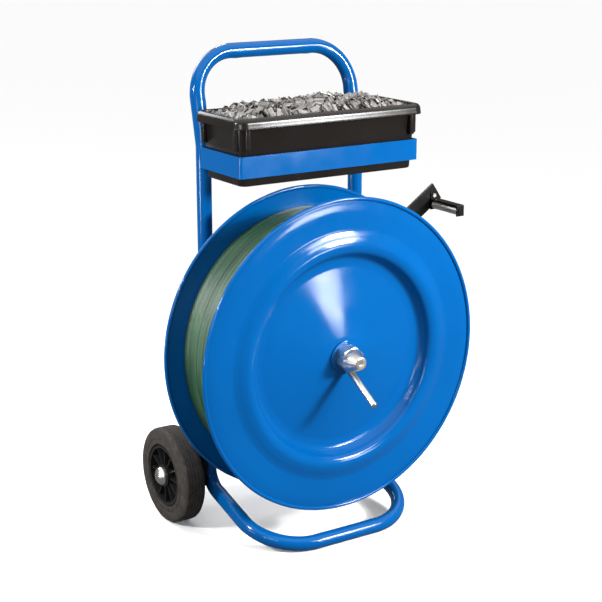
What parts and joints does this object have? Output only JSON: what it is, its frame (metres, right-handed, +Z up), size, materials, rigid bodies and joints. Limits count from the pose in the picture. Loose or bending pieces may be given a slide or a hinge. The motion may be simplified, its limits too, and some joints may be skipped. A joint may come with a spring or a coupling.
{
  "type": "strapping band dispenser trolley",
  "caption": "Two-wheeled tube-frame trolley that holds a coil of plastic strapping band between clamped flanges, with a seal tray and a sprung brake arm.",
  "frame": {"origin": "on the floor, midway between the two uprights and in the plane of their centre lines", "axes": "+X to the right seen from the front, where the clamp nut is; +Y to the back; +Z up"},
  "size_m": [0.7054, 0.4789, 0.98],
  "materials": {
    "blue_paint": "gloss powder coat",
    "black_paint": "satin",
    "zinc_steel": "bright zinc plate",
    "chrome": "polished",
    "tyre_rubber": "matte",
    "brake_rubber": "matte",
    "rim_plastic": "satin",
    "bush_plastic": "satin",
    "bronze": "satin",
    "tray_plastic": "semi-gloss",
    "seal_steel": "dull",
    "strap_plastic": "gloss",
    "core_board": "matte cardboard"
  },
  "bodies": {
    "frame": {"left_upright": "blue_paint", "right_upright": "blue_paint", "handle_bow": "blue_paint", "foot_bow": "blue_paint", "cross_tube": "blue_paint", "tray_holder_ring": "blue_paint", "ring_standoffs": "blue_paint", "spindle": "zinc_steel", "spindle_spacer": "zinc_steel", "spindle_washer": "zinc_steel", "spindle_circlip": "zinc_steel", "left_axle_plate": "black_paint", "right_axle_plate": "black_paint", "axle_plate_bolts": "zinc_steel", "axle_spacers": "zinc_steel", "wheel_axle": "zinc_steel", "left_hub_cap": "zinc_steel", "right_hub_cap": "zinc_steel", "arm_pivot_bolt": "zinc_steel", "arm_pivot_spacer": "zinc_steel", "arm_pivot_nut": "zinc_steel", "spring_anchor": "blue_paint", "return_spring": "zinc_steel"},
    "reel": {"hub_tube": "blue_paint", "rear_hub_bush": "bush_plastic", "front_hub_bush": "bush_plastic", "hub_flange": "blue_paint", "brake_drum": "zinc_steel", "rear_flange": "blue_paint", "flange_screws": "zinc_steel", "threaded_stud": "zinc_steel", "cardboard_core": "core_board", "strap_coil": "strap_plastic"},
    "clamp_slide": {"front_flange": "blue_paint", "clamp_washer": "blue_paint"},
    "clamp_knob": {"clamp_nut": "zinc_steel", "clamp_bar": "zinc_steel"},
    "arm": {"brake_arm": "black_paint", "arm_pivot_bush": "bronze", "brake_shoe": "black_paint", "brake_pad": "brake_rubber", "shoe_screws": "zinc_steel", "spring_pin": "zinc_steel", "roller_bracket": "black_paint", "bracket_bolt": "zinc_steel", "roller_pin": "black_paint"},
    "roller": {"guide_roller": "chrome", "roller_bushes": "bush_plastic"},
    "left_wheel": {"left_tyre": "tyre_rubber", "left_rim": "rim_plastic", "left_wheel_bush": "bush_plastic"},
    "right_wheel": {"right_tyre": "tyre_rubber", "right_rim": "rim_plastic", "right_wheel_bush": "bush_plastic"},
    "tray": {"seal_tray": "tray_plastic", "seals_heap": "seal_steel"}
  },
  "joints": [
    {"name": "reel_spin", "type": "hinge", "parent": "frame", "child": "reel", "pos_m": [0, -0.151, 0.386], "axis": [0, -1, 0], "continuous": true},
    {"name": "front_flange_slide", "type": "slide", "parent": "reel", "child": "clamp_slide", "axis": [0, -1, 0], "range_m": [0, 0.009]},
    {"name": "clamp_nut_turn", "type": "hinge", "parent": "clamp_slide", "child": "clamp_knob", "pos_m": [0, -0.25, 0.386], "axis": [0, -1, 0], "range_deg": [0, 1080]},
    {"name": "brake_arm_swing", "type": "hinge", "parent": "frame", "child": "arm", "pos_m": [0.181, -0.03, 0.511], "axis": [0, -1, 0], "range_deg": [0, 20], "stiffness_Nm_per_rad": 2, "springref_deg": -34.38, "deforming": ["return_spring"]},
    {"name": "guide_roller_spin", "type": "hinge", "parent": "arm", "child": "roller", "pos_m": [0.367, -0.08, 0.6165], "axis": [0, -1, 0], "continuous": true},
    {"name": "left_wheel_spin", "type": "hinge", "parent": "frame", "child": "left_wheel", "pos_m": [-0.242, 0.0445, 0.1], "axis": [1, 0, 0], "continuous": true},
    {"name": "right_wheel_spin", "type": "hinge", "parent": "frame", "child": "right_wheel", "pos_m": [0.242, 0.0445, 0.1], "axis": [1, 0, 0], "continuous": true},
    {"name": "tray_lift", "type": "slide", "parent": "frame", "child": "tray", "axis": [0, 0, 1], "range_m": [0, 0.12]}
  ],
  "couplings": [
    {"joint": "clamp_nut_turn", "follows": "front_flange_slide", "rad_per_m": 2094.4}
  ]
}
